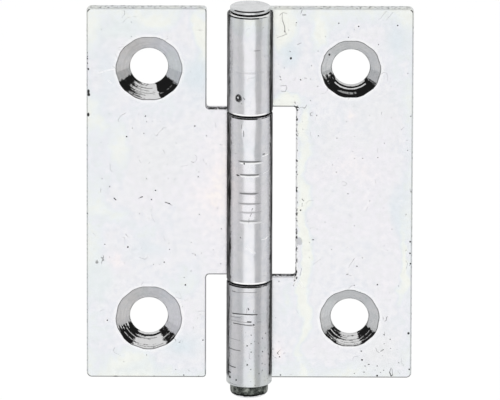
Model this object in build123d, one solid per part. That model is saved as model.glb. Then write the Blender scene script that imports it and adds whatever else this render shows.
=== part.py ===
from build123d import *
import os
from math import asin, degrees, hypot

# Narrow hinge, laid open. The pin axis is Z and runs through the origin at mid height.
# The leaves lie in the XZ plane with the countersunk side towards -Y. All sizes in millimetres.

# Strip and pin
sheet = 1.2
pin_diameter = 2.25
running_clearance = 0.04
seam_gap = 0.15

# Leaves
leaf_height = 40.0
leaf_reach = 16.87
left_plate = 12.4
right_plate = 12.1
centre_knuckle = 18.0
knuckle_rise = 0.2
axial_clearance = 0.2
outer_corner = 0.55
shoulder_corner = 0.35
root_corner = 0.3
front_edge_round = 0.18
back_edge_round = 0.15

# Screw holes, with round countersinks that tool chatter left with flats
hole_diameter = 3.95
hole_spacing = 27.0
hole_from_edge = 6.45
left_countersink = 6.92
left_sink_depth = 0.9
right_countersink = 6.25
right_sink_depth = 0.65
upper_flats = 10
lower_flats = 9
flat_depth = 0.06

# Pin ends
head_diameter = 4.15
head_thickness = 0.42
head_edge_round = 0.1
neck_diameter = 2.7
neck_height = 0.2
foot_diameter = 3.95
foot_height = 1.38
foot_edge_round = 0.6

# Punch mark on the upper knuckle
mark_radius = 0.42
mark_depth = 0.18
mark_above_end = 1.87
mark_angle = 29.7

# Sizes that follow from those above
roll_inner = pin_diameter / 2 + running_clearance
roll_outer = roll_inner + sheet
half_height = leaf_height / 2
centre_top = knuckle_rise + centre_knuckle / 2
centre_bottom = knuckle_rise - centre_knuckle / 2
window_top = centre_top + axial_clearance
window_bottom = centre_bottom - axial_clearance
past_roll = 2 * roll_outer
near = 0.001


def rolled_strip():
    """Strip of full height with its plate to +X, rolled round the pin until its end nears the plate."""
    end_angle = degrees(asin((roll_inner - seam_gap) / roll_outer))
    turn = 270 + end_angle
    with BuildPart() as strip:
        with BuildSketch(Plane.XY.offset(-half_height)):
            with BuildLine():
                outer = CenterArc((0, 0), roll_outer, 90, turn)
                inner = CenterArc((0, 0), roll_inner, 90, turn)
                Line(outer @ 1, inner @ 1)
                Polyline(inner @ 0, (leaf_reach, roll_inner), (leaf_reach, roll_outer), outer @ 0)
            make_face()
        extrude(amount=leaf_height)
    return strip.part


def span(x_from, x_to, z_from, z_to):
    """Rectangle in the leaf's plane between two distances from the pin and two heights."""
    middle = ((x_from + x_to) / 2, (z_from + z_to) / 2)
    return Pos(*middle) * Rectangle(x_to - x_from, z_to - z_from)


def rounded(outline, x, heights, radius):
    """Outline with the corners at one distance from the pin and the given heights rounded."""
    corners = [v for v in outline.vertices() if abs(v.X - x) < near]
    chosen = [v for v in corners if min(abs(v.Y - z) for z in heights) < near]
    return fillet(chosen, radius)


def one_knuckle_outline(plate_edge):
    """Plate with a tongue in the middle."""
    outline = span(plate_edge, leaf_reach, -half_height, half_height)
    outline += span(-past_roll, plate_edge, centre_bottom, centre_top)
    outline = rounded(outline, leaf_reach, (-half_height, half_height), outer_corner)
    outline = rounded(outline, plate_edge, (-half_height, half_height), shoulder_corner)
    return rounded(outline, plate_edge, (centre_bottom, centre_top), root_corner)


def two_knuckle_outline(plate_edge):
    """Plate with a tongue at each end and a window between them."""
    outline = span(-past_roll, leaf_reach, -half_height, half_height)
    outline -= span(-past_roll, plate_edge, window_bottom, window_top)
    outline = rounded(outline, leaf_reach, (-half_height, half_height), outer_corner)
    return rounded(outline, plate_edge, (window_bottom, window_top), root_corner)


def rim_edges(body, plate_edge, on_face):
    """Edges that bound one side of the strip, without the lines where plate and roll meet and the seam."""
    found = []
    for edge in body.edges():
        points = [edge @ t for t in (0, 0.5, 1)]
        along_pin = max(p.X for p in points) - min(p.X for p in points) < near
        if along_pin and points[1].X < plate_edge - near:
            continue
        if all(on_face(p) for p in points):
            found.append(edge)
    return found


def on_back(p):
    """True on the plate's back face and the outside of the roll."""
    on_plate = p.X > -near and abs(p.Y - roll_outer) < near
    return on_plate or abs(hypot(p.X, p.Y) - roll_outer) < near


def on_front(p):
    """True on the plate's front face."""
    return p.X > -near and abs(p.Y - roll_inner) < near


def screw_hole(countersink, depth, flats, turned):
    """Cutter for a hole along Y, countersunk from the front. Two of the flats meet at the angle turned."""
    bore = hole_diameter / 2
    mouth = countersink / 2
    through = Cylinder(bore, 4 * sheet)
    cone = Cone(bore, mouth, depth, align=(Align.CENTER, Align.CENTER, Align.MAX))
    inner = RegularPolygon(bore - flat_depth, flats, major_radius=False, rotation=turned)
    outer = RegularPolygon(mouth - flat_depth, flats, major_radius=False, rotation=turned)
    chatter = loft([Pos(0, 0, -depth) * inner, outer])
    return Rot(90, 0, 0) * (through + (cone & chatter))


def leaf(outline, plate_edge, upper_hole, lower_hole):
    """One leaf with its plate to +X."""
    body = rolled_strip() & extrude(Plane.XZ * outline, amount=past_roll, both=True)
    body = fillet(rim_edges(body, plate_edge, on_back), back_edge_round)
    body = fillet(rim_edges(body, plate_edge, on_front), front_edge_round)
    hole_x = leaf_reach - hole_from_edge
    body -= Pos(hole_x, roll_inner, hole_spacing / 2) * upper_hole
    return body - Pos(hole_x, roll_inner, -hole_spacing / 2) * lower_hole


def punch_mark():
    """Ball that dents the front of the upper knuckle a little above its lower end."""
    ball = (mark_radius**2 + mark_depth**2) / (2 * mark_depth)
    out = roll_outer + ball - mark_depth
    return Rot(0, 0, -mark_angle) * Pos(0, -out, window_top + mark_above_end) * Sphere(ball)


def hinge_pin():
    """Shank with a disc head on a short neck and a rounded foot, both resting on the ends of the roll."""
    upward = (Align.CENTER, Align.CENTER, Align.MIN)
    downward = (Align.CENTER, Align.CENTER, Align.MAX)
    shank = Cylinder(pin_diameter / 2, leaf_height)
    neck = Cylinder(neck_diameter / 2, neck_height, align=upward)
    head = Cylinder(head_diameter / 2, head_thickness, align=upward)
    head = fillet(head.edges().filter_by(GeomType.CIRCLE), head_edge_round)
    foot = Cylinder(foot_diameter / 2, foot_height, align=downward)
    foot = fillet(foot.edges().filter_by(GeomType.CIRCLE).sort_by(Axis.Z)[0], foot_edge_round)
    top = neck + Pos(0, 0, neck_height) * head
    return shank + Pos(0, 0, half_height) * top + Pos(0, 0, -half_height) * foot


left_edge = leaf_reach - left_plate
right_edge = leaf_reach - right_plate
left_upper = screw_hole(left_countersink, left_sink_depth, upper_flats, 0)
left_lower = screw_hole(left_countersink, left_sink_depth, lower_flats, -90)
right_upper = screw_hole(right_countersink, right_sink_depth, upper_flats, 0)
right_lower = screw_hole(right_countersink, right_sink_depth, lower_flats, 90)
left_leaf = leaf(one_knuckle_outline(left_edge), left_edge, left_upper, left_lower)
right_leaf = leaf(two_knuckle_outline(right_edge), right_edge, right_upper, right_lower)
nodes = {
    "left_leaf": mirror(left_leaf, Plane.YZ),
    "right_leaf": right_leaf - punch_mark(),
    "hinge_pin": hinge_pin(),
}

os.makedirs("parts", exist_ok=True)
for name, solid in nodes.items():
    export_step(solid, f"parts/{name}.step")
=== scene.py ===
"""Looks of the narrow hinge: plated leaves, worn barrel, pin, plain floor, soft light and camera."""

import math

import bpy
from mathutils import Matrix, Vector

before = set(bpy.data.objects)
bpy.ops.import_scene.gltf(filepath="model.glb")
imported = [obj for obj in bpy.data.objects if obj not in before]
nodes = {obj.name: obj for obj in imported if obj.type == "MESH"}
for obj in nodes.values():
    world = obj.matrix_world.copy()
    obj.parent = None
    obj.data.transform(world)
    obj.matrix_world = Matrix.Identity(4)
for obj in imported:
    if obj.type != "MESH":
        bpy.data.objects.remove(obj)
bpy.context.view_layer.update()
scene = bpy.context.scene

# One millimetre in metres, the unit of the scene
MM = 0.001

# Sizes of the hinge in millimetres, as in the CAD
BARREL = 2.365
FRONT_FACE = 1.165
BACK_FACE = 2.365
LEAF_HALF = 20.0
LEAF_REACH = 16.87
HOLE_X = 10.42
HOLE_Z = 13.5
WINDOW_EDGE = 4.77

# Borders of painted areas in millimetres
FRONT_SKIN = FRONT_FACE + 0.006
BACK_SKIN = BACK_FACE - 0.005
SINK_LIMIT = 3.6
BARREL_BACK = 1.05
PLATE_START = 1.1
NOTCH_REACH = 5.2
NOTCH_HALF = 10.0
LOW_KNUCKLE = -9.0
END_RING = 2.13

# Heights on the pin in millimetres
HEAD_EDGE = 20.52
HEAD_BOTTOM = 20.19
FOOT_TOP = -20.16
FOOT_LINE = -20.97
FOOT_BRIGHT = -21.03


class Tree:
    """A node tree that is filled by short calls."""

    def __init__(self, tree):
        self.tree = tree
        tree.nodes.clear()

    def join(self, value, socket):
        """Links an output to an input, or sets the input to a plain value."""
        if isinstance(value, bpy.types.NodeSocket):
            self.tree.links.new(value, socket)
        else:
            socket.default_value = value

    def add(self, kind, inputs=None, **settings):
        node = self.tree.nodes.new(kind)
        for key, value in settings.items():
            setattr(node, key, value)
        for key, value in (inputs or {}).items():
            self.join(value, node.inputs[key])
        return node

    def surface(self, kind, inputs, output="ShaderNodeOutputMaterial"):
        """Ends the tree with a shader."""
        shader = self.add(kind, inputs)
        self.add(output, {"Surface": shader.outputs[0]})

    def math(self, operation, *values):
        return self.add("ShaderNodeMath", dict(enumerate(values)), operation=operation).outputs[0]

    def plus(self, base, value, factor):
        """Base plus value times factor."""
        return self.math("MULTIPLY_ADD", value, factor, base)

    def minus(self, value, less):
        return self.math("SUBTRACT", value, less)

    def times(self, value, factor):
        return self.math("MULTIPLY", value, factor)

    def size(self, value):
        """The value without its sign."""
        return self.math("ABSOLUTE", value)

    def apart(self, value, other):
        """Distance between two values."""
        return self.size(self.minus(value, other))

    def below(self, value, limit):
        """1 where the value is below the limit, 0 elsewhere."""
        return self.math("LESS_THAN", value, limit)

    def above(self, value, limit):
        """1 where the value is above the limit, 0 elsewhere."""
        return self.math("GREATER_THAN", value, limit)

    def step(self, value, low, high):
        """Goes smoothly from 0 at low to 1 at high, which may be the smaller one."""
        node = self.add("ShaderNodeMapRange", {"Value": value, "From Min": low, "From Max": high})
        node.interpolation_type = "SMOOTHSTEP"
        return node.outputs["Result"]

    def outside(self, mask):
        """What a mask leaves free."""
        return self.minus(1.0, mask)

    def both(self, *masks):
        """Product of masks."""
        result = masks[0]
        for mask in masks[1:]:
            result = self.times(result, mask)
        return result

    def either(self, *masks):
        """Largest of masks."""
        result = masks[0]
        for mask in masks[1:]:
            result = self.math("MAXIMUM", result, mask)
        return result

    def vector(self, operation, *values):
        return self.add("ShaderNodeVectorMath", dict(enumerate(values)), operation=operation)

    def scaled(self, place, factors):
        return self.vector("MULTIPLY", place, factors).outputs[0]

    def length(self, place):
        return self.vector("LENGTH", place).outputs["Value"]

    def point(self, x=0.0, y=0.0, z=0.0):
        return self.add("ShaderNodeCombineXYZ", {"X": x, "Y": y, "Z": z}).outputs[0]

    def ramp(self, value, stops):
        """Colour at a value between stops, each a place from 0 to 1 and its colour."""
        node = self.add("ShaderNodeValToRGB", {"Fac": value})
        elements = node.color_ramp.elements
        while len(elements) < len(stops):
            elements.new(0.5)
        for element, (place, colour) in zip(elements, sorted(stops)):
            element.position = place
            element.color = (*colour[:3], 1)
        return node.outputs["Color"]

    def mix(self, share, under, over, blend="MIX"):
        """Colour with a share of another one over it."""
        node = self.add("ShaderNodeMix", data_type="RGBA", blend_type=blend)
        self.join(share, node.inputs[0])
        self.join(under, node.inputs[6])
        self.join(over, node.inputs[7])
        return node.outputs[2]

    def noise(self, place, scale, detail=2.0, rough=0.5, distort=0.0):
        inputs = {"Vector": place, "Scale": scale, "Detail": detail}
        inputs |= {"Roughness": rough, "Distortion": distort}
        return self.add("ShaderNodeTexNoise", inputs).outputs["Fac"]

    def bump(self, height, strength, distance, normal=None):
        """Normal of a surface that rises by the distance in millimetres where the height is 1."""
        inputs = {"Height": height, "Strength": strength, "Distance": distance * MM}
        if normal is not None:
            inputs["Normal"] = normal
        return self.add("ShaderNodeBump", inputs).outputs[0]

    def spot(self, place, centre, radii, edge=0.0):
        """1 in a soft ellipse in the leaf's plane, 0 outside. Edge is where the fade starts, from 0 to 1."""
        offset = self.vector("SUBTRACT", place, (centre[0], 0, centre[1])).outputs[0]
        return self.step(self.length(self.scaled(offset, (1 / radii[0], 0, 1 / radii[1]))), 1.0, edge)

    def stroke(self, place, start, end, half):
        """1 on a straight stroke in the leaf's plane, 0 outside. Half is half its width."""
        along = Vector((end[0] - start[0], 0, end[1] - start[1]))
        offset = self.vector("SUBTRACT", place, (start[0], 0, start[1])).outputs[0]
        share = self.vector("DOT_PRODUCT", offset, along / along.length_squared).outputs["Value"]
        share = self.math("MINIMUM", self.math("MAXIMUM", share, 0.0), 1.0)
        nearest = self.scaled(self.point(share, share, share), along)
        beside = self.vector("SUBTRACT", offset, nearest).outputs[0]
        return self.step(self.length(self.scaled(beside, (1, 0, 1))), half, half * 0.4)


def grey(level):
    return (level, level, level, 1)


def material(name):
    made = bpy.data.materials.new(name)
    made.use_nodes = True
    return made, Tree(made.node_tree)


def millimetres(tree):
    """Object coordinates in millimetres, as a vector and as three numbers."""
    place = tree.add("ShaderNodeTexCoord").outputs["Object"]
    mm = tree.scaled(place, (1 / MM, 1 / MM, 1 / MM))
    axes = tree.add("ShaderNodeSeparateXYZ", {0: mm}).outputs
    return mm, axes["X"], axes["Y"], axes["Z"]


class Places:
    """Where a point of a leaf lies, in millimetres, and masks and noises that several marks share."""

    def __init__(self, tree):
        self.mm, self.x, self.y, self.z = millimetres(tree)
        self.reach = tree.size(self.x)
        self.height = tree.size(self.z)
        self.radius = tree.length(tree.point(x=self.x, y=self.y))
        self.flat = tree.point(x=tree.plus(self.x, self.y, 0.5), y=self.z)
        normal = tree.add("ShaderNodeNewGeometry").outputs["True Normal"]
        self.upward = tree.add("ShaderNodeSeparateXYZ", {0: normal}).outputs["Z"]
        warp = tree.add("ShaderNodeTexNoise", {"Vector": self.mm, "Scale": 0.35, "Detail": 3.0})
        warp = tree.vector("SUBTRACT", warp.outputs["Color"], (0.5, 0.5, 0.5)).outputs[0]
        self.bent = tree.vector("MULTIPLY_ADD", warp, (3.2, 3.2, 3.2), self.mm).outputs[0]
        self.shaken = tree.vector("MULTIPLY_ADD", warp, (0.5, 0, 0.5), self.mm).outputs[0]
        self.torn = tree.noise(self.mm, 3.2, detail=3.0, rough=0.7)
        in_roll = tree.below(self.radius, BARREL + 0.06)
        self.barrel = tree.both(in_roll, tree.below(self.y, BARREL_BACK))
        self.low_knuckle = tree.both(self.barrel, tree.below(self.z, LOW_KNUCKLE))
        beside_barrel = tree.below(self.reach, NOTCH_REACH)
        self.near_notch = tree.both(beside_barrel, tree.below(self.height, NOTCH_HALF))
        self.in_front = tree.below(self.y, FRONT_FACE + 0.4)


# Film on the plating

FILM_COLOURS = [
    (0.00, (0.880, 0.892, 0.842)),
    (0.16, (0.862, 0.882, 0.850)),
    (0.28, (0.822, 0.852, 0.856)),
    (0.38, (0.800, 0.825, 0.853)),
    (0.47, (0.818, 0.822, 0.862)),
    (0.56, (0.842, 0.842, 0.860)),
    (0.64, (0.838, 0.828, 0.866)),
    (0.76, (0.864, 0.846, 0.868)),
    (0.88, (0.890, 0.852, 0.872)),
    (1.00, (0.920, 0.872, 0.852)),
]


def film(tree, at, pulls, tones):
    """Colour of the thin film on the plating, mottled.

    Its level falls towards the leaf's edges and is pulled up or down in places. Tones then tint some spots.
    """
    to_side = tree.minus(LEAF_REACH, at.reach)
    to_end = tree.minus(LEAF_HALF, at.height)
    broad = tree.noise(at.bent, 0.22, detail=4.0, rough=0.6)
    to_edge = tree.plus(tree.math("MINIMUM", to_side, to_end), broad, 4.0)
    level = tree.plus(-0.14, tree.step(to_edge, 5.0, 2.0), -0.26)
    level = tree.plus(level, broad, 0.80)
    level = tree.plus(level, tree.noise(at.mm, 1.6, detail=4.0, rough=0.7), 0.55)
    for centre, radii, pull in pulls:
        level = tree.plus(level, tree.spot(at.bent, centre, radii), pull)
    colour = tree.ramp(level, FILM_COLOURS)
    for centre, radii, amount, tone in tones:
        colour = tree.mix(tree.times(tree.spot(at.bent, centre, radii), amount), colour, tone)
    mottle = tree.noise(at.mm, 1.6, detail=4.0, rough=0.65)
    mottle = tree.ramp(mottle, [(0.3, grey(0.35)), (0.62, grey(1.0))])
    return tree.mix(0.11, colour, mottle, "MULTIPLY")


# Barrel

def flank_painted_shade(tree, at, borders):
    """Painted shade along both sides of the barrel, where its round flanks turn dark, with ragged borders:
    its core and its softer inner part.
    """
    teeth = tree.minus(tree.noise(at.mm, 4.0, detail=3.0, rough=0.7), 0.5)
    drift = tree.minus(tree.noise(at.mm, 0.22, detail=1.0), 0.5)
    across = tree.plus(tree.math("DIVIDE", at.x, BARREL), teeth, 0.16)
    across = tree.plus(across, drift, 0.12)
    streaks = tree.noise(tree.scaled(at.mm, (5.0, 5.0, 0.35)), 1.0, rough=0.6)
    streaks = tree.step(streaks, 0.40, 0.55)
    above_foot = tree.both(at.barrel, tree.step(at.z, -19.4, -18.8))
    cores = []
    shoulders = []
    for border, streaked in borders:
        outward = tree.times(across, math.copysign(1.0, border))
        start = abs(border)
        core = tree.step(outward, start, start + 0.05)
        cores.append(tree.both(core, tree.plus(1.0 - streaked, streaks, streaked)))
        shoulders.append(tree.step(outward, start - 0.10, start + 0.02))
    return tree.both(tree.either(*cores), above_foot), tree.both(tree.either(*shoulders), above_foot)


def cross_lines(tree, at, lines, shift, width):
    """Lines across the barrel at the given heights, as a ramp over the leaf's height."""
    leaf_height = 2 * LEAF_HALF
    height = tree.plus(0.5, at.z, 1 / leaf_height)
    wavy = tree.plus(height, tree.minus(tree.noise(at.mm, 1.2), 0.5), 0.0022)
    half = width / leaf_height
    stops = [(0.0, grey(0)), (1.0, grey(0))]
    for line_z, strength in lines:
        middle = 0.5 + (line_z + shift) / leaf_height
        for offset, level in ((-1, 0), (-0.5, strength), (0.5, strength), (1, 0)):
            stops.append((middle + offset * half, grey(level)))
    return tree.ramp(wavy, stops)


def barrel_lines(tree, at, lines, lips, lit_edge):
    """Dark lines across the barrel, painted shade along knuckle ends, and painted highlights: pale lines
    under the strong lines and along a lower end.
    """
    frayed = tree.plus(at.reach, tree.noise(at.mm, 0.9), 1.8)
    extent = tree.both(tree.step(frayed, 2.2, 1.75), at.barrel)
    dark = tree.both(cross_lines(tree, at, lines, 0.0, 0.105), extent)
    strong = [line for line in lines if line[1] > 0.6]
    # Painted highlights: pale lines just under the strong dark lines.
    pale = tree.both(cross_lines(tree, at, strong, -0.15, 0.06), extent)
    # Painted shade: dark lines along the knuckle ends beside the gaps and under the pin's head.
    for lip_z in lips:
        off = tree.apart(tree.plus(at.z, at.torn, 0.06), lip_z + 0.03)
        from_middle = tree.size(tree.math("ADD", at.x, 0.45))
        lip_spread = tree.plus(from_middle, tree.noise(at.mm, 1.4, detail=3.0), 1.6)
        lip = tree.both(tree.step(off, 0.09, 0.045), tree.step(lip_spread, 2.6, 2.1), at.barrel)
        dark = tree.either(dark, lip)
    # Painted highlight: a pale line just above a knuckle's lower end.
    off = tree.apart(tree.plus(at.z, at.torn, 0.05), lit_edge + 0.145)
    lit = tree.both(tree.step(off, 0.11, 0.08), tree.step(at.reach, 1.9, 1.5), at.barrel)
    return dark, tree.either(pale, lit)


def barrel_ends(tree, at):
    """End faces of the barrel: painted shade on their middle, in the gaps and under the pin's head, and a
    ring of painted highlight round it at the top.
    """
    level = tree.above(tree.size(at.upward), 0.9)
    on_end = tree.both(level, tree.below(at.y, PLATE_START))
    at_top = tree.above(at.z, LEAF_HALF - 0.5)
    inward = tree.plus(at.radius, at_top, 0.12)
    dark = tree.both(on_end, tree.step(inward, END_RING + 0.03, END_RING - 0.03))
    pale = tree.both(on_end, at_top, tree.step(inward, END_RING - 0.03, END_RING + 0.03))
    return dark, pale


# Countersinks

class Sinks:
    """Where a point of a leaf lies in its two countersunk holes, and the lines that the tool left there."""

    def __init__(self, tree, at, side):
        self.upper = tree.above(at.z, 0.0)
        self.lower = tree.outside(self.upper)
        self.across = tree.minus(at.x, side * HOLE_X)
        rise = tree.minus(at.z, tree.times(tree.math("SIGN", at.z), HOLE_Z))
        self.away = tree.length(tree.point(x=self.across, z=rise))
        near = tree.below(self.away, SINK_LIMIT)
        self.cone = tree.both(near, tree.above(at.y, FRONT_SKIN), tree.below(at.y, BACK_SKIN))
        turn = tree.math("ARCTAN2", self.across, tree.times(rise, -1.0))
        self.grain = tree.minus(tree.noise(at.mm, 3.5, detail=3.0, rough=0.7), 0.5)
        around = tree.plus(0.5, turn, 0.5 / math.pi)
        self.around = tree.plus(around, self.grain, 0.05)
        swept = tree.point(tree.times(turn, 0.8), tree.times(self.away, 6.0), tree.times(self.upper, 5.0))
        lines = tree.times(tree.noise(swept, 1.3, detail=4.0, rough=0.7), 0.7)
        self.lines = tree.plus(lines, tree.noise(at.mm, 5.0, detail=3.0, rough=0.7), 0.3)


def sector(tree, around, first, last):
    """1 between two angles in degrees from the bottom of a hole, 0 outside. Around is a share of a turn."""
    soft = 0.004
    low = 0.5 + first / 360
    high = 0.5 + last / 360
    return tree.both(tree.step(around, low - soft, low + soft), tree.step(around, high + soft, high - soft))


def sink_colour(tree, at, sinks, colour, mouth, tints):
    """Colour with a pale border round the countersinks, and with their tints and fine turned lines."""
    border = tree.step(sinks.away, mouth + 0.35, mouth + 0.1)
    border = tree.both(border, tree.below(at.y, FRONT_SKIN))
    colour = tree.mix(tree.times(border, 0.4), colour, grey(0.96))
    sideways = tree.plus(0.5, sinks.across, 0.5 / SINK_LIMIT)
    tint = tree.ramp(sideways, [(0.3, tints[0]), (0.7, tints[1])])
    colour = tree.mix(sinks.cone, colour, tint, "MULTIPLY")
    turned = tree.ramp(sinks.lines, [(0.36, grey(0.6)), (0.52, grey(1.0))])
    return tree.mix(tree.times(sinks.cone, 0.32), colour, turned, "MULTIPLY")


def sink_edges(tree, at, sinks, depth):
    """Painted shade: dark lines along the mouth and the throat of the countersinks."""
    near_mouth = tree.step(at.y, FRONT_FACE + 0.075, FRONT_FACE + 0.04)
    mouth = tree.both(sinks.cone, near_mouth, tree.step(sinks.lines, 0.2, 0.55))
    bottom = FRONT_FACE + depth
    throat = tree.both(sinks.cone, tree.step(at.y, bottom - 0.085, bottom - 0.025))
    return mouth, throat


def sink_rings_and_painted_reflections(tree, sinks, profiles, arcs):
    """Black of painted reflection in the lower part of the countersinks, with the turned rings of the tool as
    black and bright arcs, and a mask of all of the part that it lies in.
    """
    blacks = []
    covers = []
    for profile, here in zip(profiles, (sinks.upper, sinks.lower)):
        stops = [(0.5 + angle / 360, grey(0.2 + 0.6 * share)) for angle, share in profile]
        dark = tree.step(tree.minus(tree.ramp(sinks.around, stops), sinks.lines), -0.03, 0.03)
        cover = tree.both(sector(tree, sinks.around, profile[0][0], profile[-1][0]), sinks.cone, here)
        covers.append(cover)
        blacks.append(tree.both(cover, dark))
    black = tree.either(*blacks)
    uneven = tree.plus(sinks.away, sinks.grain, 0.12)
    for hole, first, last, radius, half, darkness in arcs:
        here = sinks.upper if hole == "upper" else sinks.lower
        band = tree.step(tree.apart(uneven, radius), half, half * 0.6)
        whole = 0.4 * abs(darkness)
        broken = tree.step(sinks.grain, 0.1 - whole, 0.2 - whole)
        arc = tree.both(band, broken, sector(tree, sinks.around, first, last), sinks.cone, here)
        if darkness > 0:
            black = tree.either(black, tree.times(arc, darkness))
        else:
            black = tree.both(black, tree.plus(1.0, arc, darkness))
    return black, tree.either(*covers)


# Pits, stains and scratches

def specks(tree, flat, scale, largest, share):
    """Small ragged pits, one at most in each cell of the given scale."""
    cells = tree.add("ShaderNodeTexVoronoi", {"Vector": flat, "Scale": scale}, voronoi_dimensions="2D")
    chance = tree.add("ShaderNodeSeparateColor", {0: cells.outputs["Color"]}).outputs
    size = tree.times(tree.math("POWER", chance["Red"], 2.5), largest * scale)
    size = tree.both(size, tree.below(chance["Green"], share))
    ragged = tree.plus(cells.outputs["Distance"], tree.noise(flat, 9.0), 0.09 * scale)
    return tree.below(tree.minus(ragged, 0.045 * scale), size)


def hairs(tree, flat, scale, width, share):
    """Thin curved scratches, the level lines of a noise, broken up by another one."""
    level = tree.apart(tree.noise(flat, scale, detail=1.5, distort=0.5), 0.5)
    line = tree.step(level, width * scale, width * scale * 0.3)
    return tree.both(line, tree.step(tree.noise(flat, 0.5, detail=1.0), share, share + 0.04))


def random_pits(tree, at, plain):
    """Pits of two sizes on the plain faces, and many on the low knuckle."""
    large = specks(tree, at.flat, scale=0.5, largest=0.09, share=0.34)
    small = specks(tree, at.flat, scale=1.3, largest=0.05, share=0.22)
    many = specks(tree, at.flat, scale=2.2, largest=0.095, share=0.7)
    patch = tree.both(at.low_knuckle, tree.step(at.z, -12.5, -14.5), tree.step(at.x, -1.3, -0.5))
    return tree.either(tree.both(tree.either(large, small), plain), tree.both(many, patch, 0.8))


def spots(tree, at, marks):
    """Stains on the front of a leaf."""
    result = 0.0
    for centre, radii, strength in marks:
        mark = tree.both(tree.spot(at.shaken, centre, radii, 0.7), strength, at.in_front)
        result = tree.either(result, mark)
    return result


def strokes(tree, at, marks):
    """Straight scratches on the front of a leaf."""
    result = 0.0
    for start, end, half, strength in marks:
        mark = tree.both(tree.stroke(at.shaken, start, end, half), strength, at.in_front)
        result = tree.either(result, mark)
    return result


def punch_dent(tree, at, centre, radii):
    """Ragged dark ring of a punch dent round its brighter bowl."""
    bowl_centre = (centre[0] + 0.06, centre[1] + 0.02)
    bowl = tree.spot(at.shaken, bowl_centre, (radii[0] * 0.5, radii[1] * 0.6), 0.5)
    crumbs = tree.noise(at.mm, 6.5, rough=0.7)
    dent = tree.spot(at.shaken, centre, radii, 0.75)
    ring = tree.minus(dent, tree.both(bowl, tree.step(crumbs, 0.56, 0.46)))
    return tree.both(ring, tree.step(crumbs, 0.30, 0.40), at.in_front)


# Cut edges

def notch_shear_and_shade(tree, at, depth, half):
    """Torn dark band on the edges of the notches that face up, with its middle at a depth along y: the cut
    edge's torn band, made near black as painted shade beside the knuckle.
    """
    off = tree.apart(tree.plus(at.y, at.torn, 1.4), depth + 0.7)
    band = tree.step(off, half + 0.15, half)
    return tree.both(tree.step(at.upward, 0.3, 0.7), at.near_notch, band, tree.step(at.torn, 0.38, 0.46))


def window_side(tree, at):
    """Upright edge of the right leaf's window: dark dots, and the pale line of painted highlight between
    them.
    """
    at_edge = tree.step(tree.apart(at.reach, WINDOW_EDGE), 0.22, 0.19)
    on_right = tree.above(at.x, WINDOW_EDGE - 0.27)
    edge = tree.both(at_edge, at.near_notch, on_right, tree.below(at.y, FRONT_FACE + 0.5))
    dots = tree.step(tree.noise(at.mm, 2.6, detail=3.0, rough=0.7), 0.52, 0.57)
    return tree.both(edge, dots), tree.both(edge, tree.minus(0.8, tree.times(dots, 0.8)))


def plate_rim(tree, at):
    """Dark bits along the rim of the plate: wear, and painted shade of its rounded edge."""
    at_side = tree.step(at.reach, LEAF_REACH - 0.12, LEAF_REACH - 0.03)
    at_end = tree.step(at.height, LEAF_HALF - 0.1, LEAF_HALF - 0.02)
    on_plate = tree.above(at.y, PLATE_START)
    return tree.both(tree.either(at_side, at_end), tree.step(at.torn, 0.5, 0.6), on_plate)


# Materials

def covered(tree, colour, layers):
    """Colour with layers over it, each a mask, its amount and its grey, and a mask of all the layers, marks
    and painted light alike.
    """
    marks_and_painted_light = 0.0
    for mask, amount, level in layers:
        share = tree.times(mask, amount)
        colour = tree.mix(share, colour, grey(level))
        marks_and_painted_light = tree.either(marks_and_painted_light, share)
    return colour, marks_and_painted_light


def relief(tree, at, dents, fine, hollows):
    """Normal of a leaf: soft waves and dents of the barrel, then the fine grain and the hollow marks."""
    swell = tree.noise(tree.scaled(at.mm, (1.0, 1.0, 0.6)), 0.5, detail=1.0)
    for centre, radii, depth in dents:
        swell = tree.plus(swell, tree.spot(at.mm, centre, radii), -depth)
    waves = tree.bump(tree.both(swell, at.barrel), strength=1.0, distance=0.10)
    height = tree.minus(tree.times(fine, 0.15), hollows)
    return tree.bump(height, strength=0.3, distance=0.03, normal=waves)


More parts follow.
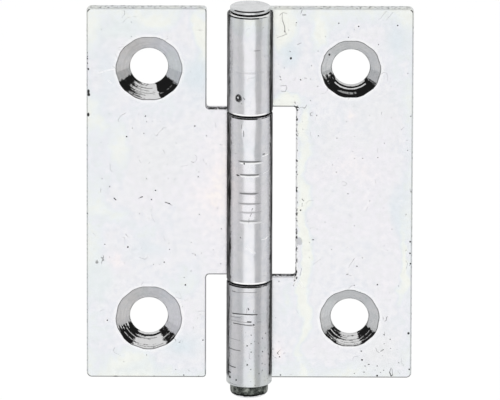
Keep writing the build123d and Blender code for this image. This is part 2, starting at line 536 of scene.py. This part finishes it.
def plated(name, leaf):
    """Zinc plating: a faint coloured sheen, pits, scratches, edge wear, and painted shade on the barrel's
    flanks and elsewhere, painted highlights and reflections.
    """
    made, tree = material(name)
    at = Places(tree)
    colour = film(tree, at, leaf["pulls"], leaf["tones"])
    core, shoulder = flank_painted_shade(tree, at, leaf["flanks"])
    rolled, pale = barrel_lines(tree, at, leaf["lines"], leaf["lips"], leaf["lit_edge"])
    end_face_shade, end_ring_highlight = barrel_ends(tree, at)
    pale = tree.either(pale, end_ring_highlight)

    sinks = Sinks(tree, at, leaf["side"])
    mouth, depth = leaf["sink"]
    black, cover = sink_rings_and_painted_reflections(tree, sinks, leaf["profiles"], leaf["arcs"])
    mouth_rim_shade, throat_shade = sink_edges(tree, at, sinks, depth)
    colour = sink_colour(tree, at, sinks, colour, mouth, leaf["tints"])
    colour = tree.mix(tree.times(at.low_knuckle, 0.11), colour, grey(0.0))

    plain = tree.outside(tree.either(at.barrel, sinks.cone))
    pits = tree.either(random_pits(tree, at, plain), spots(tree, at, leaf["stains"]))
    pits = tree.either(pits, strokes(tree, at, leaf["scratches"]))
    for centre, radii in leaf["punch_marks"]:
        pits = tree.either(pits, punch_dent(tree, at, centre, radii))
    pale = tree.either(pale, strokes(tree, at, leaf["shines"]))
    dark_hair = tree.both(hairs(tree, at.flat, 0.55, 0.010, 0.62), tree.outside(sinks.cone))
    elsewhere = tree.vector("ADD", at.flat, (31, 7, 0)).outputs[0]
    pale_hair = hairs(tree, elsewhere, 0.5, 0.012, 0.57)
    colour = tree.mix(tree.times(pale_hair, 0.5), colour, grey(0.97))

    shear_and_shade = notch_shear_and_shade(tree, at, *leaf["shear_band"])
    if leaf["window"]:
        dots, line = window_side(tree, at)
        shear_and_shade = tree.either(shear_and_shade, dots)
        # Painted highlight along the window's upright edge.
        pale = tree.either(pale, line)
    # Painted shade on faces that look down.
    underside_shade = tree.both(tree.step(at.upward, -0.05, -0.3), plain)
    rim = plate_rim(tree, at)

    colour, marks_and_painted_light = covered(tree, colour, [
        # Painted highlights: pale lines and the top ring on the barrel, the window's edge line, and the
        # shines.
        (pale, 0.9, 0.95),
        # Painted shade on the barrel's flanks: a softer part, then its dark core.
        (shoulder, 0.38, 0.12),
        (core, 1.0, 0.012),
        (rolled, 1.0, 0.01),
        (dark_hair, 0.75, 0.2),
        # The cut edges' torn band and nicks, made near black as painted shade beside the knuckle.
        (shear_and_shade, 0.97, 0.02),
        # Wear and painted shade along the plate's rim.
        (rim, 0.75, 0.08),
        (underside_shade, 0.85, 0.14),
        # Painted shade along the throat and the mouth of the countersinks.
        (throat_shade, 0.7, 0.06),
        # Painted reflections in the lower part of the countersinks: pale grey over all of it, black in
        # places.
        (cover, 0.95, 0.64),
        (mouth_rim_shade, 0.8, 0.05),
        (black, 1.0, 0.01),
        (pits, 0.97, 0.015),
        # Painted shade on the end faces of the knuckles.
        (end_face_shade, 1.0, 0.005),
    ])
    fine = tree.noise(at.mm, 9.0, detail=3.0, rough=0.6)
    tree.surface("ShaderNodeBsdfPrincipled", {
        "Base Color": colour,
        "Metallic": tree.outside(marks_and_painted_light),
        "Roughness": tree.plus(tree.plus(0.17, fine, 0.10), marks_and_painted_light, 0.35),
        "Normal": relief(tree, at, leaf["dents"], fine, tree.either(pits, dark_hair, rolled)),
        "Specular IOR Level": 0.02,
    })
    return made


def pin_steel():
    """Plated pin. Painted shade makes its shank black and the front rim of its head dark, and its upset foot
    is bare dark steel with a painted highlight on its lower edge.
    """
    made, tree = material("pin_steel")
    mm, _, y, z = millimetres(tree)
    blotch = tree.noise(mm, 0.9, detail=4.0, rough=0.65)
    plating = tree.ramp(blotch, [
        (0.3, (0.70, 0.71, 0.72)),
        (0.55, (0.82, 0.83, 0.84)),
        (0.7, (0.87, 0.88, 0.89)),
    ])
    mottle = tree.noise(mm, 2.4, detail=4.0, rough=0.7)
    bare = tree.ramp(mottle, [
        (0.36, (0.015, 0.017, 0.015)),
        (0.48, (0.10, 0.11, 0.10)),
        (0.66, (0.32, 0.34, 0.31)),
    ])
    ragged = tree.plus(z, tree.minus(tree.noise(mm, 2.2, detail=3.0), 0.5), 0.35)
    under_leaf = tree.step(z, -LEAF_HALF + 0.05, -LEAF_HALF - 0.05)
    foot = tree.both(under_leaf, tree.step(ragged, FOOT_BRIGHT - 0.05, FOOT_BRIGHT + 0.05))
    colour = tree.mix(foot, plating, bare)
    # Painted shade: the shank, seen only in the gaps between the knuckles, is black.
    shank = tree.both(tree.below(z, HEAD_BOTTOM), tree.above(z, FOOT_TOP))
    foot_line = tree.step(tree.apart(ragged, FOOT_LINE), 0.13, 0.08)
    colour = tree.mix(tree.either(shank, foot_line), colour, grey(0.01))
    # Painted shade along the front rim of the head.
    at_edge = tree.step(tree.apart(z, HEAD_EDGE), 0.10, 0.06)
    head_edge = tree.both(at_edge, tree.step(tree.plus(y, blotch, 1.2), -0.6, -0.9))
    colour = tree.mix(head_edge, colour, grey(0.01))
    # Painted highlight: the foot's lower edge is matte and pale.
    foot_edge = tree.step(ragged, FOOT_BRIGHT + 0.05, FOOT_BRIGHT - 0.05)
    fine = tree.noise(mm, 8.0, detail=3.0)
    brushed = tree.noise(tree.scaled(mm, (0.6, 4.0, 1.0)), 2.0, detail=4.0, rough=0.7)
    tree.surface("ShaderNodeBsdfPrincipled", {
        "Base Color": colour,
        "Metallic": tree.outside(tree.either(tree.times(foot_edge, 0.85), head_edge)),
        "Roughness": tree.plus(0.16, fine, 0.14),
        "Normal": tree.bump(tree.math("ADD", fine, brushed), strength=0.3, distance=0.03),
    })
    return made


# Looks of the two leaves. Places are x and z in millimetres, seen from the front.
# side: -1 for the left leaf, 1 for the right one
# pulls: centre, radii and how far the film's level is pulled up or down
# tones: centre, radii, amount and colour
# stains: centre, radii and strength of a dark spot
# scratches and shines: start, end, half width and strength of a dark or a bright stroke
# lines: height and strength of a dark line across the barrel
# lips: heights of dark lines of painted shade along the ends of the knuckles, beside the gaps and under the
# pin's head
# lit_edge: height of the knuckle end with a pale line of painted highlight above it
# flanks: where the painted shade on the barrel's flanks starts, as a share of the barrel's radius to either
# side, and how streaked it is
# shear_band: depth along y and half width of the torn band in the notches, which is darkened as painted shade
# window: whether the leaf has a window with marks on its upright edge
# sink: radius of the countersink's mouth, and its depth
# profiles: for the upper and then the lower hole, angles from its bottom in degrees and how black the painted
# reflection is there
# arcs: hole, first and last angle, radius, half width and darkness of a turned line, below 0 for a bright one
# tints: colours at the left and the right of a countersink
# punch_marks: centre and radii
# dents: centre, radii and depth of a soft dent in the barrel

BLUE = (0.735, 0.795, 0.835, 1)
TEAL = (0.785, 0.835, 0.835, 1)
NEUTRAL = (0.822, 0.828, 0.838, 1)

LEFT = {
    "side": -1,
    "pulls": [
        ((-3.6, 1.5), (5.5, 10.0), 0.26),
        ((-2.9, 3.0), (2.4, 7.0), 0.22),
        ((-13.4, 4.8), (1.4, 4.0), -0.45),
        ((-14.0, -2.3), (2.4, 2.4), -0.3),
        ((-11.5, -4.2), (2.8, 2.2), -0.3),
        ((-13.9, -7.2), (1.5, 1.8), 0.35),
        ((-5.0, 16.5), (1.4, 5.0), -0.6),
        ((-11.0, 18.3), (4.5, 2.0), -0.3),
        ((-13.0, -18.5), (4.0, 2.5), -0.45),
        ((-8.0, 12.0), (3.5, 6.0), -0.15),
        ((-7.0, -9.0), (3.5, 3.5), -0.25),
    ],
    "tones": [
        ((-9.8, 4.0), (5.0, 5.5), 0.8, NEUTRAL),
        ((-5.7, 12.8), (2.0, 4.2), 1.0, BLUE),
        ((-7.0, -16.5), (3.4, 2.4), 1.0, BLUE),
        ((-14.8, 13.0), (2.0, 6.0), 0.5, BLUE),
        ((-13.5, 17.8), (3.4, 1.8), 0.8, TEAL),
        ((-15.6, -9.0), (1.6, 5.0), 0.7, TEAL),
        ((-10.5, -6.2), (3.6, 1.6), 0.6, BLUE),
        ((-12.0, -18.8), (4.0, 1.3), 0.5, BLUE),
    ],
    "stains": [
        ((-14.46, 0.79), (0.07, 0.12), 0.6),
        ((-10.18, -0.60), (0.08, 0.08), 0.9),
        ((-9.75, 0.37), (0.09, 0.08), 1.0),
        ((-8.30, -1.07), (0.09, 0.08), 1.0),
        ((-5.33, 1.91), (0.08, 0.07), 0.9),
        ((-5.7, 7.4), (0.10, 0.08), 1.0),
        ((-1.3, 3.08), (0.20, 0.10), 1.0),
        ((-0.6, 4.36), (0.09, 0.12), 1.0),
        ((1.45, 5.2), (0.18, 0.06), 1.0),
        ((-0.88, 8.25), (0.06, 0.36), 0.6),
        ((-0.70, 7.55), (0.07, 0.40), 0.6),
        ((-16.68, 10.95), (0.14, 0.28), 1.0),
        ((-16.64, 10.65), (0.18, 0.20), 1.0),
        ((-16.68, 8.47), (0.16, 0.26), 1.0),
        ((-16.70, 13.48), (0.11, 0.14), 1.0),
        ((-16.72, 14.09), (0.08, 0.08), 1.0),
        ((-16.72, 14.57), (0.08, 0.09), 1.0),
        ((-16.72, 14.80), (0.08, 0.07), 0.9),
        ((-16.73, 15.20), (0.07, 0.07), 0.8),
        ((-13.8, -19.88), (0.30, 0.10), 1.0),
    ],
    "scratches": [
        ((-14.00, -0.46), (-13.80, -0.65), 0.07, 1.0),
        ((-11.44, -0.45), (-11.25, -0.36), 0.05, 0.6),
        ((-11.25, -0.36), (-11.06, -0.29), 0.07, 1.0),
        ((-8.74, -0.90), (-8.30, -1.07), 0.06, 0.8),
        ((-8.30, -1.07), (-8.05, -1.29), 0.04, 0.6),
        ((0.36, -0.55), (0.22, -0.78), 0.05, 0.7),
        ((0.18, -1.15), (0.05, -1.45), 0.05, 0.7),
        ((-0.05, -1.65), (-0.12, -2.1), 0.04, 0.5),
        ((-0.95, -3.65), (-0.92, -3.72), 0.07, 0.9),
    ],
    "shines": [
        ((-15.7, 13.1), (-14.64, 13.37), 0.06, 0.8),
        ((-14.64, 13.37), (-13.85, 13.44), 0.06, 0.9),
        ((-14.64, 12.2), (-14.36, 11.9), 0.08, 0.8),
        ((1.28, -4.02), (1.75, -3.98), 0.05, 0.8),
        ((1.6, -3.95), (2.15, -3.72), 0.05, 0.9),
        ((-0.2, -4.75), (0.5, -5.35), 0.22, 0.35),
        ((1.30, 5.00), (1.70, 5.02), 0.05, 0.8),
        ((1.60, 5.02), (2.10, 5.16), 0.05, 0.9),
        ((1.40, 3.22), (2.05, 3.34), 0.04, 0.7),
        ((2.06, 1.25), (2.12, 0.85), 0.05, 0.9),
        ((2.12, 0.70), (2.08, 0.30), 0.05, 0.9),
    ],
    "lines": [(4.5, 1.0), (3.1, 1.0), (1.15, 1.0), (0.05, 0.7), (-0.9, 0.5), (-1.9, 0.7)],
    "lips": [9.12],
    "lit_edge": -8.8,
    "flanks": [(0.86, 0.3), (-0.79, 0.3)],
    "shear_band": (1.55, 0.3),
    "window": False,
    "sink": (3.46, 0.9),
    "profiles": (
        [(-66, 0.62), (-50, 0.72), (-38, 0.52), (-18, 0.44), (0, 0.34), (18, 0.32), (24, 1.0), (60, 1.0)],
        [(-72, 0.5), (-58, 0.66), (-40, 0.8), (-30, 0.5), (-24, 0.36), (30, 0.36), (36, 0.7), (56, 0.62)],
    ),
    "arcs": [
        ("upper", -52, 10, 2.33, 0.035, 0.8),
        ("upper", -52, -2, 2.55, 0.03, 0.8),
        ("upper", -50, 14, 2.78, 0.03, 0.7),
        ("upper", -52, -8, 2.98, 0.03, 0.8),
        ("upper", -50, -14, 3.18, 0.03, 0.8),
        ("upper", 24, 52, 3.0, 0.05, -0.35),
        ("lower", -46, 34, 2.17, 0.11, 1.0),
        ("lower", -34, 20, 2.44, 0.035, 0.8),
        ("lower", -22, 34, 3.18, 0.035, 0.6),
        ("lower", -62, -34, 2.62, 0.04, -0.7),
        ("lower", -58, -30, 3.0, 0.05, -0.6),
        ("lower", 34, 56, 2.75, 0.06, -0.6),
    ],
    "tints": ((0.98, 0.965, 0.935), (0.955, 0.965, 0.985)),
    "punch_marks": [],
    "dents": [((-0.45, 7.7), (0.55, 1.4), 0.35)],
}

RIGHT = {
    "side": 1,
    "pulls": [
        ((3.3, 17.3), (2.0, 3.6), -0.6),
        ((3.6, 10.0), (2.4, 1.6), -0.75),
        ((5.7, 8.0), (1.1, 2.0), -0.5),
        ((5.6, -6.0), (1.0, 20.0), -0.75),
        ((3.9, -12.0), (1.4, 4.0), -0.2),
        ((2.8, -17.0), (1.4, 2.2), 0.4),
        ((15.8, -8.0), (0.6, 6.0), -0.6),
        ((7.0, 17.5), (1.5, 3.2), -0.5),
        ((12.0, 1.0), (4.5, 10.0), 0.16),
        ((10.9, 7.9), (1.0, 1.0), 0.4),
    ],
    "tones": [
        ((13.6, -17.0), (4.0, 4.5), 0.9, NEUTRAL),
        ((13.0, 9.0), (4.5, 4.0), 0.6, NEUTRAL),
        ((8.0, 6.0), (2.0, 5.0), 0.5, NEUTRAL),
        ((4.3, 15.0), (1.8, 2.4), 1.0, BLUE),
        ((15.0, 16.5), (2.2, 3.2), 0.8, BLUE),
        ((15.6, -2.0), (1.2, 6.0), 0.6, BLUE),
    ],
    "stains": [
        ((4.2, 14.65), (0.13, 0.16), 1.0),
        ((4.78, 9.36), (0.28, 0.12), 1.0),
        ((3.52, 17.6), (0.09, 0.09), 0.8),
        ((4.72, 18.48), (0.08, 0.07), 0.7),
        ((4.15, 15.38), (0.07, 0.07), 0.7),
        ((3.52, 13.63), (0.06, 0.06), 0.6),
        ((11.76, -18.02), (0.12, 0.10), 1.0),
        ((12.49, -18.46), (0.13, 0.07), 0.8),
        ((12.11, -18.67), (0.12, 0.08), 0.5),
        ((13.30, -18.70), (0.08, 0.08), 1.0),
        ((11.61, -17.08), (0.10, 0.08), 0.9),
        ((13.31, -19.80), (0.11, 0.10), 1.0),
        ((16.60, -19.05), (0.10, 0.10), 1.0),
        ((14.63, -15.72), (0.08, 0.07), 0.8),
        ((14.04, -16.21), (0.06, 0.06), 0.6),
        ((13.66, -19.44), (0.08, 0.08), 0.5),
        ((11.95, -19.40), (0.14, 0.10), 0.5),
        ((5.12, -5.17), (0.36, 0.50), 0.28),
        ((6.56, -4.95), (0.11, 0.08), 0.8),
        ((4.89, 0.37), (0.09, 0.18), 1.0),
        ((4.74, -8.75), (0.13, 0.26), 1.0),
        ((0.76, 16.5), (0.45, 0.06), 0.7),
        ((-2.0, -19.1), (0.12, 0.16), 1.0),
        ((-1.3, -19.2), (0.09, 0.13), 1.0),
        ((-2.0, -18.6), (0.16, 0.10), 1.0),
        ((16.60, 8.49), (0.07, 0.07), 0.9),
        ((16.70, 0.26), (0.07, 0.07), 0.9),
        ((16.66, -5.16), (0.10, 0.11), 1.0),
        ((16.66, -6.41), (0.10, 0.10), 1.0),
        ((16.66, -7.56), (0.10, 0.10), 1.0),
        ((16.60, -15.1), (0.14, 0.15), 1.0),
        ((8.24, 14.99), (0.13, 0.17), 1.0),
        ((-1.03, 11.22), (0.13, 0.34), 1.0),
        ((0.50, -13.1), (0.11, 0.12), 1.0),
    ],
    "scratches": [
        ((3.05, 19.22), (3.39, 19.53), 0.05, 0.45),
        ((3.39, 19.53), (3.80, 19.41), 0.05, 0.35),
        ((3.31, 19.41), (3.34, 18.68), 0.05, 0.45),
        ((3.34, 18.68), (3.52, 18.14), 0.06, 0.6),
        ((3.52, 18.14), (3.52, 17.60), 0.06, 0.7),
        ((3.52, 17.55), (3.74, 17.30), 0.05, 0.5),
        ((3.74, 17.30), (3.28, 17.12), 0.05, 0.5),
        ((3.28, 17.12), (2.76, 16.94), 0.05, 0.35),
        ((4.91, 16.10), (5.23, 16.30), 0.05, 0.5),
        ((5.58, 12.54), (5.83, 12.54), 0.05, 0.5),
        ((3.05, 12.75), (3.14, 12.60), 0.05, 0.6),
        ((3.10, 12.40), (3.25, 12.34), 0.05, 0.6),
        ((3.16, 11.71), (3.74, 11.71), 0.05, 0.4),
        ((3.74, 11.71), (3.80, 11.40), 0.05, 0.4),
        ((3.80, 11.40), (3.63, 11.05), 0.05, 0.4),
        ((3.63, 11.05), (3.23, 11.10), 0.05, 0.4),
        ((5.23, 19.46), (5.35, 19.80), 0.05, 0.6),
        ((5.41, 19.26), (5.70, 19.26), 0.06, 0.9),
        ((13.14, -16.69), (13.27, -17.05), 0.05, 0.4),
        ((13.27, -17.05), (13.53, -17.23), 0.05, 0.4),
        ((13.70, -17.05), (14.00, -16.83), 0.06, 0.7),
        ((14.74, -18.94), (14.58, -19.40), 0.05, 0.6),
        ((14.58, -19.40), (14.69, -19.78), 0.07, 0.9),
        ((14.69, -19.78), (14.86, -19.67), 0.07, 0.9),
        ((14.86, -19.67), (14.84, -19.04), 0.05, 0.5),
        ((5.41, -0.48), (5.58, -0.69), 0.05, 0.7),
        ((5.43, -0.90), (5.43, -1.28), 0.05, 0.4),
        ((5.35, -8.06), (5.23, -8.90), 0.05, 0.35),
        ((-1.75, -9.62), (-1.45, -9.66), 0.07, 0.8),
        ((-1.45, -9.70), (0.75, -9.70), 0.05, 0.6),
        ((-1.75, -12.0), (0.85, -12.0), 0.08, 1.0),
        ((0.85, -12.0), (1.35, -12.0), 0.05, 0.4),
        ((-1.95, -12.38), (-0.9, -12.38), 0.06, 0.6),
        ((-1.9, -12.82), (-0.1, -12.82), 0.05, 0.5),
        ((-0.12, -12.76), (0.2, -12.76), 0.10, 1.0),
        ((-1.7, -13.08), (0.35, -13.12), 0.07, 0.9),
        ((0.9, -12.85), (1.2, -12.82), 0.08, 0.5),
        ((-2.1, -14.8), (-1.0, -14.82), 0.05, 0.5),
        ((-2.1, -15.95), (-0.95, -15.97), 0.07, 0.8),
        ((-2.1, -17.85), (-1.4, -17.9), 0.07, 1.0),
        ((-0.17, -11.35), (-0.10, -11.5), 0.08, 0.9),
        ((-2.1, -19.68), (-1.2, -19.7), 0.05, 0.6),
        ((-0.72, 11.37), (-0.55, 11.2), 0.05, 0.9),
        ((-0.88, 10.72), (-0.84, 10.68), 0.06, 0.8),
    ],
    "shines": [
        ((5.12, -9.38), (5.35, -9.86), 0.07, 0.9),
        ((5.35, -9.86), (5.70, -10.16), 0.06, 0.8),
        ((-1.5, -12.15), (0.7, -12.15), 0.04, 0.5),
    ],
    "lines": [(14.1, 0.2)],
    "lips": [19.905, -9.08],
    "lit_edge": 9.4,
    "flanks": [(0.83, 0.2), (-0.84, 0.5)],
    "shear_band": (1.95, 0.45),
    "window": True,
    "sink": (3.125, 0.65),
    "profiles": (
        [(-78, 0.5), (-60, 0.62), (-40, 0.78), (0, 0.85), (30, 1.0), (56, 1.0)],
        [(-58, 0.68), (-30, 0.6), (-22, 0.42), (0, 0.4), (20, 0.42), (26, 0.66), (60, 0.74)],
    ),
    "arcs": [
        ("upper", -48, 42, 2.26, 0.07, -1.0),
        ("upper", -55, 45, 1.98, 0.05, -0.9),
        ("upper", -28, 12, 2.66, 0.11, -0.5),
        ("lower", -24, 24, 2.46, 0.035, 0.7),
        ("lower", -20, 22, 2.72, 0.03, 0.6),
        ("lower", -26, 20, 2.92, 0.03, 0.6),
        ("lower", -56, -32, 2.35, 0.05, -0.8),
        ("lower", -54, -28, 2.7, 0.04, -0.6),
        ("lower", 28, 56, 2.5, 0.05, -0.5),
        ("lower", 30, 54, 2.82, 0.04, -0.5),
    ],
    "tints": ((0.965, 0.975, 0.95), (0.955, 0.965, 0.955)),
    "punch_marks": [((-1.19, 11.27), (0.37, 0.52))],
    "dents": [],
}


def dress(obj, made):
    obj.data.materials.clear()
    obj.data.materials.append(made)


dress(nodes["left_leaf"], plated("plated_left", LEFT))
dress(nodes["right_leaf"], plated("plated_right", RIGHT))
dress(nodes["hinge_pin"], pin_steel())


# Studio: grey and black cards that are seen only in reflections, on a ball round the hinge

CARD_RADIUS = 0.14
CARD_STEP = 6

# Name, first and last azimuth, first and last elevation in degrees, and brightness of each card
CARDS = [
    ("card_right_front", (27, 60), (-58, 8), 0.56),
    ("card_left_front", (-31, -60), (-58, 8), 0.66),
    ("card_right", (60, 104), (-58, 8), 0.80),
    ("card_left", (-60, -112), (-58, 8), 0.74),
    ("card_back", (104, 248), (-58, 6), 0.72),
    ("flag_right", (36, 100), (8, 52), 0.02),
    ("flag_left", (-33, -100), (8, 52), 0.02),
    ("card_top_front", (-33, 36), (24, 62), 0.80),
    ("card_top_back", (100, 260), (6, 40), 0.81),
    ("card_top", (0, 360), (62, 90), 0.60),
    ("card_under_front", (-125, 125), (-89, -58), 0.64),
    ("card_under", (125, 235), (-89, -74), 0.64),
    ("card_under_back", (125, 235), (-74, -58), 0.45),
]


def mesh_object(name, points, faces):
    mesh = bpy.data.meshes.new(name)
    mesh.from_pydata(points, [], faces)
    obj = bpy.data.objects.new(name, mesh)
    scene.collection.objects.link(obj)
    return obj


def angles(first, last):
    """Angles from first to last in equal steps of about CARD_STEP degrees, in radians."""
    steps = max(1, round(abs(last - first) / CARD_STEP))
    return [math.radians(first + (last - first) * i / steps) for i in range(steps + 1)]


def ball_patch(azimuths, elevations):
    """Points and faces of a patch of a ball."""
    columns = len(azimuths)
    points = []
    for elevation in elevations:
        out = CARD_RADIUS * math.cos(elevation)
        height = CARD_RADIUS * math.sin(elevation)
        points += [(out * math.sin(azimuth), -out * math.cos(azimuth), height) for azimuth in azimuths]
    faces = []
    for row in range(len(elevations) - 1):
        for column in range(columns - 1):
            corner = row * columns + column
            faces.append((corner, corner + 1, corner + columns + 1, corner + columns))
    return points, faces


def card(name, azimuth, elevation, brightness):
    """Glowing card that only glossy rays see."""
    points, faces = ball_patch(angles(*azimuth), angles(*elevation))
    obj = mesh_object(name, points, faces)
    made, tree = material(name)
    tree.surface("ShaderNodeEmission", {"Color": grey(1), "Strength": brightness})
    obj.data.materials.append(made)
    obj.visible_camera = False
    obj.visible_diffuse = False
    obj.visible_transmission = False
    obj.visible_volume_scatter = False
    obj.visible_shadow = False


for row in CARDS:
    card(*row)

# Floor, in metres

FLOOR_HALF = 3.0
FLOOR_HEIGHT = -0.15

corners = [(x * FLOOR_HALF, y * FLOOR_HALF, FLOOR_HEIGHT) for x, y in ((-1, -1), (1, -1), (1, 1), (-1, 1))]
floor = mesh_object("floor", corners, [(0, 1, 2, 3)])
floor_paint, floor_tree = material("floor")
floor_tree.surface("ShaderNodeBsdfDiffuse", {"Color": grey(0.96)})
floor.data.materials.append(floor_paint)

# World and lamp, in metres

LAMP_PLACE = Vector((0, -0.5, 0.9))
LAMP_SIZE = 0.8
LAMP_POWER = 1.6

world = bpy.data.worlds.new("studio")
scene.world = world
world.use_nodes = True
sky = Tree(world.node_tree)
sky.surface("ShaderNodeBackground", {"Color": grey(1), "Strength": 1.0}, "ShaderNodeOutputWorld")

light = bpy.data.lights.new("overhead", "AREA")
light.size = LAMP_SIZE
light.energy = LAMP_POWER
lamp = bpy.data.objects.new("overhead", light)
lamp.location = LAMP_PLACE
lamp.rotation_euler = LAMP_PLACE.to_track_quat("Z", "Y").to_euler()
scene.collection.objects.link(lamp)

# Camera, far away with a long lens. The photo's pixels give its scale and where it aims.

PHOTO_WIDTH = 500
PX_PER_MM = 9.67
AIM_RIGHT = 0.4
AIM_DOWN = 2.75
ELEVATION = math.radians(17.3)
ROLL = math.radians(0.18)
LENS = 900
SENSOR = 36

PIXEL = MM / PX_PER_MM
camera_data = bpy.data.cameras.new("camera")
camera_data.lens = LENS
camera_data.sensor_width = SENSOR
camera_data.clip_end = 20
camera = bpy.data.objects.new("camera", camera_data)
scene.collection.objects.link(camera)
scene.camera = camera
distance = PHOTO_WIDTH * PIXEL * LENS / SENSOR
right = Vector((1, 0, 0))
up = Vector((0, math.sin(ELEVATION), math.cos(ELEVATION)))
toward = Vector((0, -math.cos(ELEVATION), math.sin(ELEVATION)))
aim = right * (AIM_RIGHT * PIXEL) - up * (AIM_DOWN * PIXEL)
turned = Matrix((right, up, toward)).transposed().to_4x4() @ Matrix.Rotation(ROLL, 4, "Z")
camera.matrix_world = Matrix.Translation(aim + toward * distance) @ turned

scene.view_settings.view_transform = "Standard"
